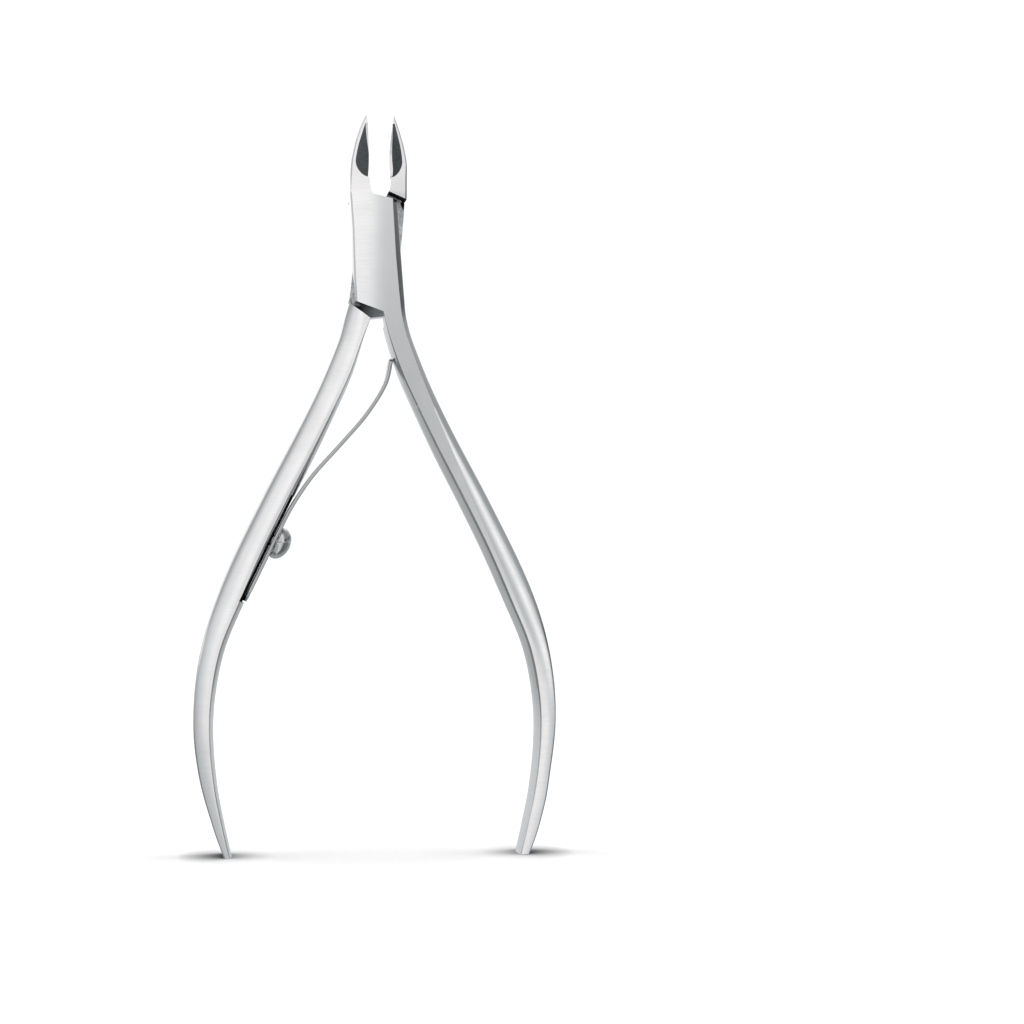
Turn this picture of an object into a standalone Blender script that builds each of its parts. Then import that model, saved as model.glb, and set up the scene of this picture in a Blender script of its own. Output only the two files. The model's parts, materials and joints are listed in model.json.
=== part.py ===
"""Cuticle nipper with a lap joint: two forged levers, a pivot rivet, and a leaf spring with its screw.

Frame: X to the right, Z up, the front face towards -Y. The origin is midway between the two handle
tips, at their height. The nipper stands half open, as its spring holds it. Numbers are millimetres
until solid() scales them.

Both levers are drawn the same way, as the front one: jaw on the left (-X), handle on the right (+X).
The back lever is then turned half a turn about Z. A jaw and its half of the joint are drawn in the
closed position, about the pivot, and swung open. A handle is drawn where it stands when open.
"""

import math

import bmesh
import bpy
from mathutils import Matrix, Vector

MM = 0.001

# The joint
PIVOT_X = 0.4
PIVOT_Z = 89.2
FRONT_OPENING = math.radians(4.3)
BACK_OPENING = math.radians(6.3)
BLOCK_HALF_WIDTH = 3.45
BLOCK_HALF_DEPTH = 3.0
LAP_GAP = 0.1
PLATE_CENTRE_OVERLAP = 1.0
RUNNING_GAP = 0.05
BEYOND = 7.0
BEYOND_DEPTH = 4.5
BEYOND_HEIGHT = 14.0

# Lines across the closed block, as two points (x, height above the pivot)
PLATE_TOP = ((0.0, 8.82), (3.4, 7.72))
JAW_SHOULDER = ((-3.4, 8.37), (-0.58, 9.27))
FRONT_PLATE_FOOT = ((-3.5, -6.98), (0.4, -8.74))
BACK_PLATE_FOOT = ((-3.4, -8.55), (0.0, -9.3))
FRONT_ARM_SHOULDER = ((0.0, -10.6), (3.4, -9.9))
BACK_ARM_SHOULDER = ((0.1, -9.7), (3.4, -7.83))

# The jaw, closed: (height above the pivot, value)
JAW_HEIGHTS = (-10.5, -3.0, 4.0, 8.2, 8.8, 9.2, 10.3, 11.0, 11.8, 12.5, 13.3, 14.1, 15.1, 16.2, 17.3, 18.3,
               19.2, 20.0, 20.5, 20.9)
JAW_EDGE = 0.25
JAW_EDGE_START = math.radians(35)
JAW_EDGE_TURN = math.radians(60)
JAW_CORNER = 0.17
JAW_OUTER = ((-10.5, 3.45), (4.0, 3.45), (9.2, 3.42), (10.3, 3.33), (12.5, 3.03), (14.0, 2.76), (15.5, 2.35),
             (16.9, 1.94), (18.3, 1.42), (19.8, 0.8), (20.9, 0.2))
JAW_INNER = ((8.8, 0.2), (9.2, 0.42), (10.3, 0.56), (11.8, 0.52), (13.2, 0.28), (14.5, 0.12), (16.0, 0.05),
             (20.9, 0.05))
FRONT_JAW_WIDER = ((-10.5, 0.6), (-4.0, 0.52), (4.0, 0.18), (9.0, 0.2), (12.0, 0.28), (15.0, 0.3),
                   (18.5, 0.2), (20.9, 0.05))
BACK_JAW_WIDER = ((-10.5, 0.0), (2.0, -0.1), (7.5, -0.17), (9.5, -0.3), (11.5, -0.28), (14.0, -0.12),
                  (18.0, -0.12), (20.9, -0.05))
JAW_HALF_DEPTH = ((-10.5, 3.0), (8.8, 3.0), (9.6, 2.99), (12.5, 2.8), (15.0, 2.4), (18.0, 1.6), (20.9, 0.6))

# The ground facet on the front of each jaw, closed
FACET_SIDE = ((19.7, 0.42), (18.0, 1.12), (16.1, 1.85), (14.1, 2.4))
FACET_FOOT = ((2.42, 13.4), (2.25, 12.8), (1.9, 12.2), (1.4, 11.7), (0.8, 11.4), (-0.8, 11.1))
FACET_SHARE_FRONT = 1.0
FACET_SHARE_BACK = 0.8
FACET_LAND_FRONT = 0.3
FACET_LAND_BACK = 0.02
FACET_LAND_END = 16.4
FACET_LIP = 0.08
FACET_SLOPE = 1.5

# The handle, open: (height, value)
ARM_OUTER = ((79.8, 4.6), (76.1, 5.6), (67.9, 9.08), (53.0, 16.8), (41.0, 22.45), (30.7, 25.85), (20.5, 27.0),
             (12.0, 26.15), (3.9, 23.9), (0.0, 22.45))
ARM_INNER = ((76.8, 1.95), (71.6, 3.75), (67.9, 5.42), (60.4, 9.1), (53.0, 12.95), (45.5, 16.65),
             (38.1, 19.9), (30.7, 22.9), (23.2, 24.3), (17.0, 24.45), (9.8, 23.7), (3.9, 22.5), (0.0, 21.6))
ARM_INNER_TOP_FRONT = ((99.2, -1.2), (89.2, -0.8), (84.0, 0.2), (80.9, 0.94))
ARM_INNER_TOP_BACK = ((99.2, -2.0), (89.2, -1.6), (84.0, -0.3), (79.9, 0.77))
FRONT_ARM_WIDER = ((84.0, -0.15), (75.0, -0.08), (62.0, -0.15), (52.0, 0.0), (45.0, 0.12), (38.0, 0.24),
                   (30.0, 0.08), (22.5, 0.0), (16.0, -0.13), (12.0, -0.08), (8.0, 0.27), (4.0, 0.48),
                   (0.0, 0.55))
BACK_ARM_WIDER = ((84.0, 0.0), (0.0, 0.0))
ARM_HALF_DEPTH = ((99.2, 3.0), (50.0, 3.0), (44.0, 3.0), (37.0, 2.99), (30.0, 2.97), (20.0, 2.9), (8.0, 2.68),
                  (1.2, 2.46), (0.0, 2.35))
# The arms' front and back faces, as tables of the flat share and of the arc's first and last angle. The front
# lever's arm keeps the joint's chamfer for a while, and the back lever's is rounded from its shoulder down.
FRONT_ARM_FACE = (((99.2, 0.84), (84.0, 0.8), (72.0, 0.78), (66.0, 0.7), (58.0, 0.48), (50.0, 0.28),
                   (42.0, 0.2), (0.0, 0.2)),
                  ((84.0, 33.0), (72.0, 33.0), (65.0, 20.0), (57.0, 7.0), (49.0, 2.0), (0.0, 2.0)),
                  ((84.0, 50.0), (72.0, 50.0), (65.0, 45.0), (57.0, 36.0), (40.0, 28.0), (20.0, 20.0),
                   (0.0, 16.0)))
BACK_ARM_FACE = (((99.2, 0.84), (84.0, 0.8), (81.0, 0.4), (76.0, 0.2), (0.0, 0.2)),
                 ((84.0, 33.0), (81.0, 6.0), (76.0, 2.0), (0.0, 2.0)),
                 ((84.0, 50.0), (81.0, 30.0), (60.0, 28.0), (40.0, 28.0), (20.0, 20.0), (0.0, 16.0)))
ARM_CORNER = ((84.0, 0.4), (70.0, 0.4), (58.0, 0.75), (40.0, 0.6), (20.0, 0.45), (0.0, 0.25))
ARM_CROWN = ((99.2, 0.0), (80.5, 0.0), (76.8, 0.22), (66.0, 0.55), (55.0, 0.77), (35.0, 0.68), (20.0, 0.5),
             (0.0, 0.3))

# The rivet
RIVET_RADIUS = 1.6
RIVET_HEAD_RADIUS = 2.5
RIVET_HEAD_DEPTH = 0.9
RIVET_HEAD_RIM = 0.15
RIVET_BELOW_FACE = 0.03
RIVET_FRONT = -1.7
RIVET_SIDES = 40

# The leaf spring: its middle line from the foot to the tip, (x, z)
LEAF_LINE = ((-19.4, 37.8), (-17.85, 40.9), (-16.05, 44.6), (-14.2, 48.4), (-12.3, 52.0), (-9.3, 56.4),
             (-4.96, 61.25), (-1.3, 65.5), (1.5, 70.0), (2.42, 73.8))
LEAF_STEPS = 44
LEAF_THICKNESS = 0.55
LEAF_WIDTH_FOOT = 3.8
LEAF_WIDTH_TIP = 2.5
LEAF_EDGE = 0.12
LEAF_TIP_ROUND = 0.6
SEAT_GAP = 0.35
SEAT_HALF_WIDTH = 2.15
SEAT_BELOW = 1.0
SEAT_ABOVE = 6.5
SEAT_CUT_HEIGHT = 3.0

# The screw that holds it
SCREW_AT = (-15.03, 46.7)
SCREW_HEAD_RADIUS = 2.45
SCREW_HEAD_HEIGHT = 2.2
SCREW_RIM = 0.4
SCREW_CHAMFER = 0.15
SCREW_SHANK_RADIUS = 0.9
SCREW_LENGTH = 2.6
SLOT_WIDTH = 0.7
SLOT_DEPTH = 0.9
SCREW_SIDES = 36


def smooth(points, at):
    """The value at a position on the smooth curve through (position, value) points."""
    points = sorted(points)
    at = min(max(at, points[0][0]), points[-1][0])
    index = max(i for i in range(len(points) - 1) if points[i][0] <= at)

    def slope(i):
        before, after = points[max(i - 1, 0)], points[min(i + 1, len(points) - 1)]
        return (after[1] - before[1]) / (after[0] - before[0])

    (low, start), (high, end) = points[index], points[index + 1]
    span = high - low
    t = (at - low) / span
    return ((2 * t ** 3 - 3 * t ** 2 + 1) * start + (t ** 3 - 2 * t ** 2 + t) * span * slope(index)
            + (3 * t ** 2 - 2 * t ** 3) * end + (t ** 3 - t ** 2) * span * slope(index + 1))


def steps(first, last, length):
    """Evenly spaced positions from first to last, about length apart, without last."""
    count = max(1, round((last - first) / length))
    return [first + (last - first) * i / count for i in range(count)]


def line_at(line, x):
    """The height at x of the straight line through two points."""
    (x0, z0), (x1, z1) = line
    return z0 + (z1 - z0) * (x - x0) / (x1 - x0)


def solid(name, vertices, faces):
    """A mesh object from points in millimetres, with its faces pointing out."""
    mesh = bpy.data.meshes.new(name)
    mesh.from_pydata([Vector(v) * MM for v in vertices], [], faces)
    model = bmesh.new()
    model.from_mesh(mesh)
    bmesh.ops.recalc_face_normals(model, faces=model.faces)
    model.to_mesh(mesh)
    model.free()
    item = bpy.data.objects.new(name, mesh)
    bpy.context.collection.objects.link(item)
    return item


def loft(name, rings):
    """A solid skinned over rings of the same number of points, closed flat at both ends."""
    count = len(rings[0])
    vertices = [point for ring in rings for point in ring]
    faces = [list(range(count)), list(range(len(vertices) - count, len(vertices)))]
    for level in range(len(rings) - 1):
        for i in range(count):
            here, beside = level * count + i, level * count + (i + 1) % count
            faces.append([here, beside, beside + count, here + count])
    return solid(name, vertices, faces)


def prism(name, outline, front, back):
    """A solid with an (x, z) outline, from y = front to y = back."""
    return loft(name, [[(x, y, z) for x, z in outline] for y in (front, back)])


def turned(name, profile, sides):
    """A solid turned about Y from an (y, radius) profile, closed at both ends."""
    angles = [2 * math.pi * i / sides for i in range(sides)]
    return loft(name, [[(r * math.cos(a), y, r * math.sin(a)) for a in angles] for y, r in profile])


def combine(body, tool, operation):
    """Joins, cuts or trims the body with the tool, which is used up."""
    change = body.modifiers.new(operation, "BOOLEAN")
    change.operation = operation
    change.object = tool
    graph = bpy.context.evaluated_depsgraph_get()
    result = bpy.data.meshes.new_from_object(body.evaluated_get(graph))
    body.modifiers.clear()
    body.data = result
    bpy.data.objects.remove(tool)


def move(item, matrix):
    """Moves the points of an object's mesh."""
    item.data.transform(matrix)


def swing(opening, pivot_x):
    """Takes what is drawn closed, about x = 0, to its place in a lever that stands open."""
    above, pivot = Vector((0, 0, PIVOT_Z)) * MM, Vector((pivot_x, 0, PIVOT_Z)) * MM
    return Matrix.Translation(pivot) @ Matrix.Rotation(-opening, 4, "Y") @ Matrix.Translation(-above)


def section(inner, outer, half_depth, flat, start, turn, corner, crown, across=6, arc=4, bend=3):
    """The (u, y) points round one cross-section of a lever, where u runs from its inner side outwards.

    The front and back faces are flat over part of the width. They then lean away evenly, from the start
    angle to the turn angle, and a rounded corner leads to the flat outer side. The inner side is crowned.
    """
    first, last = inner + (outer - inner) * flat, outer - corner * (1 - math.sin(turn))
    fall, front = 0.0, [(first, 0.0)]
    for i in range(arc):
        fall += (last - first) / arc * math.tan(start + (turn - start) * (i + 0.5) / arc)
        front.append((first + (last - first) * (i + 1) / arc, fall))
    for i in range(1, bend + 1):
        angle = turn + (math.pi / 2 - turn) * i / bend
        front.append((outer - corner + corner * math.sin(angle),
                      fall + corner * (math.cos(turn) - math.cos(angle))))
    points = [(u, fallen - half_depth) for u, fallen in front]
    points += [(u, half_depth - fallen) for u, fallen in reversed(front)]
    for i in range(across + 1):
        share = 1 - 2 * i / across
        points.append((inner - crown * (1 - share ** 2), half_depth * share))
    return points


def jaw_blank(wider):
    """The left jaw with the left side of the joint, closed, at full depth."""
    rings = []
    for height in JAW_HEIGHTS:
        outer = smooth(JAW_OUTER, height) + smooth(wider, height)
        inner = smooth(JAW_INNER, height) if height >= JAW_INNER[0][0] else -PLATE_CENTRE_OVERLAP
        edge = min(JAW_EDGE, (outer - inner) / 2)
        ring = section(inner, outer, smooth(JAW_HALF_DEPTH, height), 1 - edge / (outer - inner),
                       JAW_EDGE_START, JAW_EDGE_TURN, edge * JAW_CORNER / JAW_EDGE, 0.0)
        rings.append([(-u, y, PIVOT_Z + height) for u, y in ring])
    return loft("jaw", rings)


def arm_blank(opening, pivot_x, inner_top, wider, face):
    """The right handle with the right side of the joint, open, at full depth."""
    edge = pivot_x + BLOCK_HALF_WIDTH / math.cos(opening)
    side = tuple((z, edge + (PIVOT_Z - z) * math.tan(opening)) for z in (99.2, 92.0, 87.0, 83.0))
    rings = []
    for height in steps(0.0, 0.9, 0.45) + steps(0.9, 75.0, 3.2) + steps(75.0, 84.0, 1.5) + [84.0, 89.2, 98.6]:
        inner = smooth(inner_top + ARM_INNER, height)
        outer = smooth(side + ARM_OUTER, height) + smooth(wider, height)
        flat, start, turn = (smooth(table, height) for table in face)
        ring = section(inner, outer, smooth(ARM_HALF_DEPTH, height), flat, math.radians(start),
                       math.radians(turn), smooth(ARM_CORNER, height), smooth(ARM_CROWN, height))
        rings.append([(u, y, height) for u, y in ring])
    return loft("arm", rings)


def facet_cutter(side, land, share):
    """The tool that grinds the facet on the front (side -1) or back (side 1) of a closed left jaw.

    It is drawn at its full width and takes up the given share of it.
    """
    outline = [(u, z) for z, u in FACET_SIDE] + list(FACET_FOOT)
    outline += [(-0.8, FACET_LAND_END), (land * 0.3, FACET_LAND_END + 1.2), (land, FACET_SIDE[0][0] - 0.1)]
    outline = [(u * share, z) for u, z in outline]
    floor = []
    for u, z in outline:
        past_side = smooth(FACET_SIDE, z) * share - u
        depth = FACET_LIP + FACET_SLOPE * max(past_side, 0.0)
        floor.append((-u, side * (smooth(JAW_HALF_DEPTH, z) - depth), PIVOT_Z + z))
    return loft("facet_cutter", [[(-u, side * BEYOND_DEPTH, PIVOT_Z + z) for u, z in outline], floor])


def across_block(line, height):
    """A four-sided (x, z) outline from a line across the block to a height above or below the pivot."""
    ends = [(x, PIVOT_Z + line_at(line, x)) for x in (-BEYOND, BEYOND)]
    return ends + [(BEYOND, PIVOT_Z + height), (-BEYOND, PIVOT_Z + height)]


def lever(name, opening, pivot_x, inner_top, jaw_wider, arm_wider, arm_face, foot, shoulder, facet):
    """A whole lever, drawn as the front one and open."""
    opened = swing(opening, pivot_x)
    body = jaw_blank(jaw_wider)
    body.name = name
    below = prism("foot_cutter", across_block(foot, -BEYOND_HEIGHT), -BEYOND_DEPTH, BEYOND_DEPTH)
    combine(body, below, "DIFFERENCE")
    combine(body, facet_cutter(*facet), "DIFFERENCE")
    move(body, opened)

    arm = arm_blank(opening, pivot_x, inner_top, arm_wider, arm_face)
    level = PIVOT_Z + line_at(PLATE_TOP, 0.0)
    above = [(0.0, level), (BEYOND, PIVOT_Z + line_at(PLATE_TOP, BEYOND)), (BEYOND, PIVOT_Z + BEYOND_HEIGHT),
             (-BEYOND, PIVOT_Z + BEYOND_HEIGHT), (-BEYOND, level)]
    top_cutter = prism("top_cutter", above, -BEYOND_DEPTH, BEYOND_DEPTH)
    move(top_cutter, opened)
    combine(arm, top_cutter, "DIFFERENCE")
    combine(body, arm, "UNION")

    top = [(x, PIVOT_Z + line_at(JAW_SHOULDER, x)) for x in (BEYOND, -BEYOND)]
    bottom = [(x, PIVOT_Z + line_at(shoulder, x)) for x in (-BEYOND, BEYOND)]
    lap_cutter = prism("lap_cutter", top + bottom, -LAP_GAP / 2, BEYOND_DEPTH)
    move(lap_cutter, opened)
    combine(body, lap_cutter, "DIFFERENCE")
    return body


def half_turn(item):
    """Turns a lever drawn as the front one into the back one."""
    move(item, Matrix.Rotation(math.pi, 4, "Z"))


def at_pivot(item):
    """Moves a piece turned about Y to the pivot."""
    move(item, Matrix.Translation(Vector((PIVOT_X, 0, PIVOT_Z)) * MM))
    return item


def rivet_profile(gap):
    """The rivet's (y, radius) profile, grown by a gap all round for the bores."""
    back = BLOCK_HALF_DEPTH - RIVET_BELOW_FACE
    shank, head = RIVET_RADIUS + gap, RIVET_HEAD_RADIUS + gap
    end = back + (1.0 if gap else 0.0)
    return ((RIVET_FRONT - gap, shank), (back - RIVET_HEAD_DEPTH - gap / 2, shank),
            (back - RIVET_HEAD_RIM, head), (end, head))


def screw_frame():
    """The matrix that takes Y to the screw's outward direction, at the spring's face."""
    foot, above = Vector((LEAF_LINE[1][0], 0, LEAF_LINE[1][1])), Vector((LEAF_LINE[3][0], 0, LEAF_LINE[3][1]))
    along = (above - foot).normalized()
    outward = Vector((along.z, 0, -along.x))
    turn = Matrix((outward.cross(along), outward, along)).transposed().to_4x4()
    return Matrix.Translation(Vector((SCREW_AT[0], 0, SCREW_AT[1])) * MM) @ turn


def rod(name, radius, start, end, sides):
    """A round bar along the screw's axis, from start to end past the spring's middle line."""
    bar = turned(name, ((start, radius), (end, radius)), sides)
    move(bar, screw_frame())
    return bar


def spring_screw():
    """A slotted dome-headed screw."""
    under = LEAF_THICKNESS / 2 + RUNNING_GAP
    profile = [(-SCREW_LENGTH, SCREW_SHANK_RADIUS * 0.7), (-SCREW_LENGTH + 0.3, SCREW_SHANK_RADIUS),
               (under, SCREW_SHANK_RADIUS), (under, SCREW_HEAD_RADIUS - SCREW_CHAMFER),
               (under + SCREW_CHAMFER, SCREW_HEAD_RADIUS), (under + SCREW_RIM, SCREW_HEAD_RADIUS)]
    dome = SCREW_HEAD_HEIGHT - SCREW_RIM
    for i in range(1, 7):
        angle = math.radians(15 * i - 3)
        profile.append((under + SCREW_RIM + dome * math.sin(angle), SCREW_HEAD_RADIUS * math.cos(angle)))
    screw = turned("spring_screw", profile, SCREW_SIDES)
    top = under + SCREW_HEAD_HEIGHT
    half, reach = SLOT_WIDTH / 2, SCREW_HEAD_RADIUS + 1.0
    outline = [(-half, -reach), (half, -reach), (half, reach), (-half, reach)]
    slot = prism("slot_cutter", outline, top - SLOT_DEPTH, top + 1.0)
    combine(screw, slot, "DIFFERENCE")
    move(screw, screw_frame())
    return screw


def seat_cutter():
    """The tool that grinds the flat under the spring's foot."""
    seat = []
    for x, z in (LEAF_LINE[0], LEAF_LINE[3]):
        seat.append(Vector((x, 0, z)) - screw_frame().to_3x3() @ Vector((0, SEAT_GAP, 0)))
    along = (seat[1] - seat[0]).normalized()
    low, high = seat[0] - along * SEAT_BELOW, seat[1] + along * SEAT_ABOVE
    away = screw_frame().to_3x3() @ Vector((0, SEAT_CUT_HEIGHT, 0))
    outline = [(p.x, p.z) for p in (low, high, high + away, low + away)]
    return prism("seat_cutter", outline, -SEAT_HALF_WIDTH, SEAT_HALF_WIDTH)


def leaf_spring():
    """A bent strip, rounded at the foot and narrower towards the tip."""
    places = list(range(len(LEAF_LINE)))
    last = places[-1]
    centres = []
    for i in range(LEAF_STEPS + 1):
        t = last * i / LEAF_STEPS
        x = smooth(tuple(zip(places, (p[0] for p in LEAF_LINE))), t)
        z = smooth(tuple(zip(places, (p[1] for p in LEAF_LINE))), t)
        centres.append(Vector((x, 0, z)))
    rings = []
    for i, centre in enumerate(centres):
        before, after = centres[max(i - 1, 0)], centres[min(i + 1, LEAF_STEPS)]
        along = (after - before).normalized()
        outward = Vector((along.z, 0, -along.x))
        half = (LEAF_WIDTH_FOOT + (LEAF_WIDTH_TIP - LEAF_WIDTH_FOOT) * i / LEAF_STEPS) / 2
        from_foot = (centre - centres[0]).length + LEAF_EDGE
        if from_foot < half:
            half = math.sqrt(half ** 2 - (half - from_foot) ** 2)
        from_tip = (centre - centres[-1]).length
        if from_tip < LEAF_TIP_ROUND:
            half -= LEAF_TIP_ROUND * (1 - from_tip / LEAF_TIP_ROUND) ** 2
        thick = LEAF_THICKNESS / 2
        edge = LEAF_EDGE
        corners = ((-thick, half - edge), (-thick + edge, half), (thick - edge, half), (thick, half - edge),
                   (thick, -half + edge), (thick - edge, -half), (-thick + edge, -half),
                   (-thick, -half + edge))
        rings.append([centre + outward * u + Vector((0, v, 0)) for u, v in corners])
    return loft("leaf_spring", rings)


def finish(item, colour, roughness):
    """Gives a piece its steel and smooth shading with crisp creases."""
    steel = bpy.data.materials.new(item.name + "_steel")
    steel.use_nodes = True
    shader = steel.node_tree.nodes["Principled BSDF"]
    shader.inputs["Base Color"].default_value = (*colour, 1.0)
    shader.inputs["Roughness"].default_value = roughness
    shader.inputs["Metallic"].default_value = 1.0
    steel.diffuse_color = (*colour, 1.0)
    item.data.materials.clear()
    item.data.materials.append(steel)
    item.data.shade_smooth()
    item.data.set_sharp_from_angle(angle=math.radians(28))


def set_origin(item, point):
    """Moves an object's origin without moving its shape."""
    move(item, Matrix.Translation(-point))
    item.location = point


def main():
    for item in list(bpy.data.objects):
        bpy.data.objects.remove(item)

    front = lever("front_lever", FRONT_OPENING, PIVOT_X, ARM_INNER_TOP_FRONT, FRONT_JAW_WIDER,
                  FRONT_ARM_WIDER, FRONT_ARM_FACE, FRONT_PLATE_FOOT, FRONT_ARM_SHOULDER,
                  (-1, FACET_LAND_FRONT, FACET_SHARE_FRONT))
    back = lever("back_lever", BACK_OPENING, -PIVOT_X, ARM_INNER_TOP_BACK, BACK_JAW_WIDER, BACK_ARM_WIDER,
                 BACK_ARM_FACE, BACK_PLATE_FOOT, BACK_ARM_SHOULDER, (1, FACET_LAND_BACK, FACET_SHARE_BACK))
    half_turn(back)

    rivet = at_pivot(turned("pivot_rivet", rivet_profile(0.0), RIVET_SIDES))
    for item in (front, back):
        combine(item, at_pivot(turned("bore", rivet_profile(RUNNING_GAP), RIVET_SIDES)), "DIFFERENCE")

    combine(back, seat_cutter(), "DIFFERENCE")
    combine(back, rod("screw_hole", SCREW_SHANK_RADIUS + RUNNING_GAP, -SCREW_LENGTH - 0.2, 1.0, SCREW_SIDES),
            "DIFFERENCE")
    spring = leaf_spring()
    combine(spring, rod("leaf_hole", SCREW_SHANK_RADIUS + 0.1, -1.5, 1.5, SCREW_SIDES), "DIFFERENCE")
    screw = spring_screw()

    pivot = Vector((PIVOT_X, 0, PIVOT_Z)) * MM
    for item in (front, back, rivet, spring, screw):
        set_origin(item, pivot)
    finish(front, (0.72, 0.73, 0.74), 0.3)
    finish(back, (0.72, 0.73, 0.74), 0.3)
    finish(rivet, (0.66, 0.67, 0.68), 0.35)
    finish(spring, (0.7, 0.71, 0.73), 0.2)
    finish(screw, (0.75, 0.76, 0.78), 0.12)


main()
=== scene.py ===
"""The looks of the cuticle nipper: finely made levers, rivet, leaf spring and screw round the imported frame.

Shapes are drawn in millimetres and scaled by MM when they become meshes. Both levers are drawn as the
front one, jaw on the left and handle on the right, and the back lever is then turned half a turn.
"""

import json
import math

import bmesh
import bpy
from mathutils import Matrix, Vector


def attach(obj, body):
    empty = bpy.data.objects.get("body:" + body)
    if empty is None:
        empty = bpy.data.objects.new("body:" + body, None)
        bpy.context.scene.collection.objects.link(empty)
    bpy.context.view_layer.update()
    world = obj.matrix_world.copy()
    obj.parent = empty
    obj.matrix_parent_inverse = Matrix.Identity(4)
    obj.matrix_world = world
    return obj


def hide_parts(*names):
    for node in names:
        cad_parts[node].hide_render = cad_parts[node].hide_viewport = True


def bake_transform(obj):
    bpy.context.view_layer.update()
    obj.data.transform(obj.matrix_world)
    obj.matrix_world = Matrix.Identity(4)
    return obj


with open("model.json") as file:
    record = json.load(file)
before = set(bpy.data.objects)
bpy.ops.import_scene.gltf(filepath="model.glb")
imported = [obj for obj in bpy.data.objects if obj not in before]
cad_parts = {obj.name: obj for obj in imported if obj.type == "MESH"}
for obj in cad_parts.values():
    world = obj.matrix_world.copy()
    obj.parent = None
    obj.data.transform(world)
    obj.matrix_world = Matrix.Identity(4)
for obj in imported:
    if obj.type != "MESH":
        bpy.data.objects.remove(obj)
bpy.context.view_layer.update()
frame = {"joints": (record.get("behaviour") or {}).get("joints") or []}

MM = 0.001
SMOOTH_ANGLE = math.radians(24)

ROUND_SIDES = 96

# The small bevels: their width, and the angle from which an edge gets one. Before that, points nearer than a
# sliver are merged, as the cuts leave some.
LEVER_BEVEL = (0.07, math.radians(26))
PIN_BEVEL = (0.06, math.radians(30))
SLIVER = 0.008

# Material slots of a lever's mesh: plain steel, ground steel darkened partly as painted shade, lapped steel,
# and near-black painted shade for faces in recesses and under ledges
STEEL, GROUND_AND_SHADE, LAPPED, SHADED = 0, 1, 2, 3

# The joint
PIVOT = Vector(frame["joints"][0]["pos_m"]) / MM
PIVOT_X, PIVOT_Z = PIVOT.x, PIVOT.z
FRONT_OPENING = math.radians(4.3)
BACK_OPENING = math.radians(6.3)
BLOCK_HALF_WIDTH = 3.45
BLOCK_HALF_DEPTH = 3.0
LAP_GAP = 0.1
PLATE_CENTRE_OVERLAP = 1.0
RUNNING_GAP = 0.05
BEYOND = 7.0
BEYOND_DEPTH = 4.5
BEYOND_HEIGHT = 14.0

# How finely a lever's cross-section is drawn: its leaning face, rounded corner and crowned inner side. Then
# where its flat has points when its inner edges are broken, and how much of the flat they take up at most.
ARC_STEPS = 14
BEND_STEPS = 7
CROWN_STEPS = 14
BROKEN_FLAT_SHARES = (0.0, 0.5, 0.9, 1.0)
MOST_BROKEN = 0.6

# Lines across the closed block, as two points (x, height above the pivot)
PLATE_TOP = ((0.0, 8.82), (3.4, 7.72))
JAW_SHOULDER = ((-3.4, 8.37), (-0.58, 9.27))
FRONT_PLATE_FOOT = ((-3.5, -6.98), (0.4, -8.74))
BACK_PLATE_FOOT = ((-3.4, -8.55), (0.0, -9.3))
FRONT_ARM_SHOULDER = ((0.0, -10.6), (3.4, -9.9))
BACK_ARM_SHOULDER = ((0.1, -9.7), (3.4, -7.83))

# The jaw, closed: (height above the pivot, value)
JAW_EDGE = 0.25
JAW_EDGE_START = math.radians(35)
JAW_EDGE_TURN = math.radians(60)
JAW_CORNER = 0.17
JAW_OUTER = ((-10.5, 3.45), (4.0, 3.45), (9.2, 3.42), (10.3, 3.33), (12.5, 3.03), (14.0, 2.76), (15.5, 2.35),
             (16.9, 1.94), (18.3, 1.42), (19.8, 0.8), (20.9, 0.2))
JAW_INNER = ((8.8, 0.2), (9.2, 0.42), (10.3, 0.56), (11.8, 0.52), (13.2, 0.28), (14.5, 0.12), (16.0, 0.05),
             (20.9, 0.05))
FRONT_JAW_WIDER = ((-10.5, 0.6), (-4.0, 0.52), (4.0, 0.18), (9.0, 0.2), (12.0, 0.28), (15.0, 0.3),
                   (18.5, 0.2), (20.9, 0.05))
BACK_JAW_WIDER = ((-10.5, 0.0), (2.0, -0.1), (7.5, -0.17), (9.5, -0.3), (11.5, -0.28), (14.0, -0.12),
                  (18.0, -0.12), (20.9, -0.05))
JAW_FORK = JAW_INNER[0][0]
JAW_TIP = 20.9
JAW_LOW_RINGS = [-10.5, -3.0, 4.0, 8.2]
JAW_RING_LENGTH = 0.3
JAW_HALF_DEPTH = ((-10.5, 3.0), (8.8, 3.0), (9.6, 2.99), (12.5, 2.8), (15.0, 2.4), (18.0, 1.6), (20.9, 0.6))

# The ground facet on the front of each jaw, closed: its outer side and foot, and the honed strip beside the
# cutting edge, as (height above the pivot, distance outwards)
FACET_OUTLINE = ((11.1, -0.8), (11.4, 0.8), (11.7, 1.4), (12.2, 1.9), (12.8, 2.25), (13.4, 2.42), (14.1, 2.4),
                 (16.1, 1.85), (18.0, 1.12), (19.7, 0.42))
FACET_FLOOR_SIDE = ((11.0, 2.4), (14.1, 2.4), (16.1, 1.85), (18.0, 1.12), (19.7, 0.42))
FACET_TOP = 19.68
FACET_FOOT = 11.12
FRONT_HONED = ((11.0, 0.0), (15.3, 0.03), (16.5, 0.18), (18.0, 0.33), (19.7, 0.4))
BACK_HONED = ((11.0, 0.66), (12.0, 0.84), (13.2, 0.78), (14.5, 0.56), (16.0, 0.4), (18.0, 0.24), (19.7, 0.1))
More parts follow.
